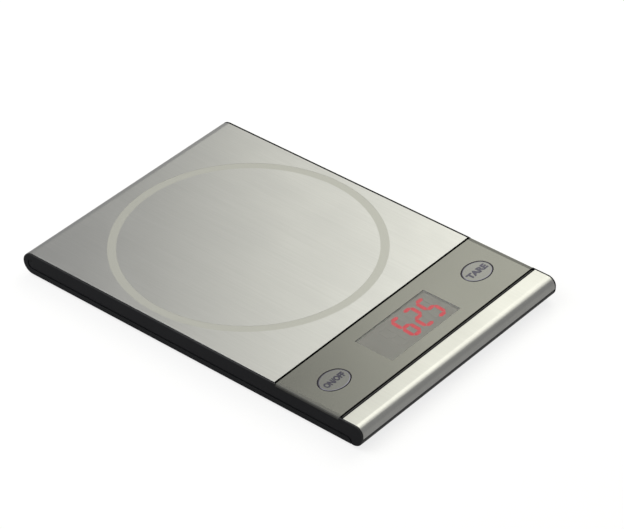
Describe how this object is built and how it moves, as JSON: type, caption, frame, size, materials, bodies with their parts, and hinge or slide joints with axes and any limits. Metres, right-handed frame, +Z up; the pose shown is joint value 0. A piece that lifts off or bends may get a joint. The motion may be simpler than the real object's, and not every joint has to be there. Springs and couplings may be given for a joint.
{
  "type": "talking kitchen scale",
  "caption": "Slim talking kitchen scale: brushed steel platform on a load cell, grey panel with red seven-segment display, oval ON/OFF and TARE keys, speaker and coin-cell bay below.",
  "frame": {"origin": "on the surface the feet stand on, under the middle of the casing", "axes": "+X to the right seen from the display end, +Y from the display to the back of the platform, +Z up"},
  "size_m": [0.165, 0.24, 0.0155],
  "materials": {
    "casing_plastic": "fine satin moulding",
    "cheek_plastic": "fine satin moulding",
    "platform_steel": "brushed stainless, matte etched ring",
    "trim_steel": "brushed stainless",
    "panel_acrylic": "smoked grey satin acrylic",
    "window_acrylic": "smoked clear acrylic",
    "lit_bars": "glowing red",
    "unlit_bars": "grey translucent",
    "display_plastic": "dark matte moulding",
    "board_laminate": "green solder mask",
    "chip_plastic": "matte black epoxy",
    "white_plastic": "white nylon",
    "tinned_metal": "nickel plated",
    "cell_aluminium": "milled",
    "silicone": "white sealant",
    "wire_rubber": "coloured insulation",
    "cable_rubber": "grey jacket",
    "speaker_paper": "coated black cone",
    "magnet_ferrite": "sintered",
    "foam_rubber": "soft foam",
    "foot_rubber": "grippy rubber",
    "spring_steel": "nickel plated spring strip",
    "coin_steel": "bright steel can",
    "screw_steel": "zinc plated",
    "tape_foam": "white double-sided tape",
    "key_plastic": "grey satin key with printed rim and word",
    "plunger_plastic": "natural acetal",
    "knob_plastic": "pale grey acetal"
  },
  "bodies": {
    "base": {"base_tray": "casing_plastic", "left_cheek": "cheek_plastic", "right_cheek": "cheek_plastic", "front_trim": "trim_steel", "panel_frame": "casing_plastic", "control_panel": "panel_acrylic", "display_window": "window_acrylic", "display_housing": "display_plastic", "lit_segments": "lit_bars", "unlit_segments": "unlit_bars", "main_board": "board_laminate", "scale_chip": "chip_plastic", "voice_chip": "chip_plastic", "board_components": "tinned_metal", "board_sockets": "white_plastic", "on_off_switch": "chip_plastic", "tare_switch": "chip_plastic", "load_cell": "cell_aluminium", "gauge_sealant": "silicone", "load_cell_shim": "tinned_metal", "load_cell_screws": "screw_steel", "overload_stop": "screw_steel", "load_cell_cable": "cable_rubber", "speaker_basket": "tinned_metal", "speaker_cone": "speaker_paper", "speaker_magnet": "magnet_ferrite", "speaker_gasket": "foam_rubber", "speaker_strap": "tinned_metal", "speaker_leads": "wire_rubber", "coin_cells": "coin_steel", "negative_contact": "spring_steel", "link_contact": "spring_steel", "positive_contact": "spring_steel", "battery_leads": "wire_rubber", "switch_board": "board_laminate", "unit_switch": "tinned_metal", "volume_switch": "tinned_metal", "switch_leads": "wire_rubber", "foot_front_left": "foot_rubber", "foot_front_right": "foot_rubber", "foot_rear_left": "foot_rubber", "foot_rear_right": "foot_rubber", "casing_screws": "screw_steel", "small_screws": "screw_steel"},
    "platform": {"platform_plate": "platform_steel", "platform_carrier": "casing_plastic", "plate_tapes": "tape_foam", "platform_spacer": "tinned_metal", "platform_screws": "screw_steel"},
    "on_off": {"on_off_key": "key_plastic", "on_off_plunger": "plunger_plastic"},
    "tare": {"tare_key": "key_plastic", "tare_plunger": "plunger_plastic"},
    "door": {"battery_door": "casing_plastic"},
    "unit": {"unit_knob": "knob_plastic"},
    "volume": {"volume_knob": "knob_plastic"}
  },
  "joints": [
    {"name": "platform_load", "type": "slide", "parent": "base", "child": "platform", "axis": [0, 0, 1], "range_m": [-0.0004, 0], "stiffness_N_per_m": 40000, "springref_m": 0.0001, "deforming": ["load_cell"]},
    {"name": "on_off_press", "type": "slide", "parent": "base", "child": "on_off", "axis": [0, 0, -1], "range_m": [0, 0.0004], "stiffness_N_per_m": 3000, "springref_m": -0.0002},
    {"name": "tare_press", "type": "slide", "parent": "base", "child": "tare", "axis": [0, 0, -1], "range_m": [0, 0.0004], "stiffness_N_per_m": 3000, "springref_m": -0.0002},
    {"name": "battery_door_swing", "type": "hinge", "parent": "base", "child": "door", "pos_m": [0.046, -0.0231, 0.0029], "axis": [1, 0, 0], "range_deg": [0, 85]},
    {"name": "unit_switch_slide", "type": "slide", "parent": "base", "child": "unit", "axis": [1, 0, 0], "range_m": [0, 0.0025]},
    {"name": "volume_switch_slide", "type": "slide", "parent": "base", "child": "volume", "axis": [1, 0, 0], "range_m": [-0.002, 0.002]}
  ]
}
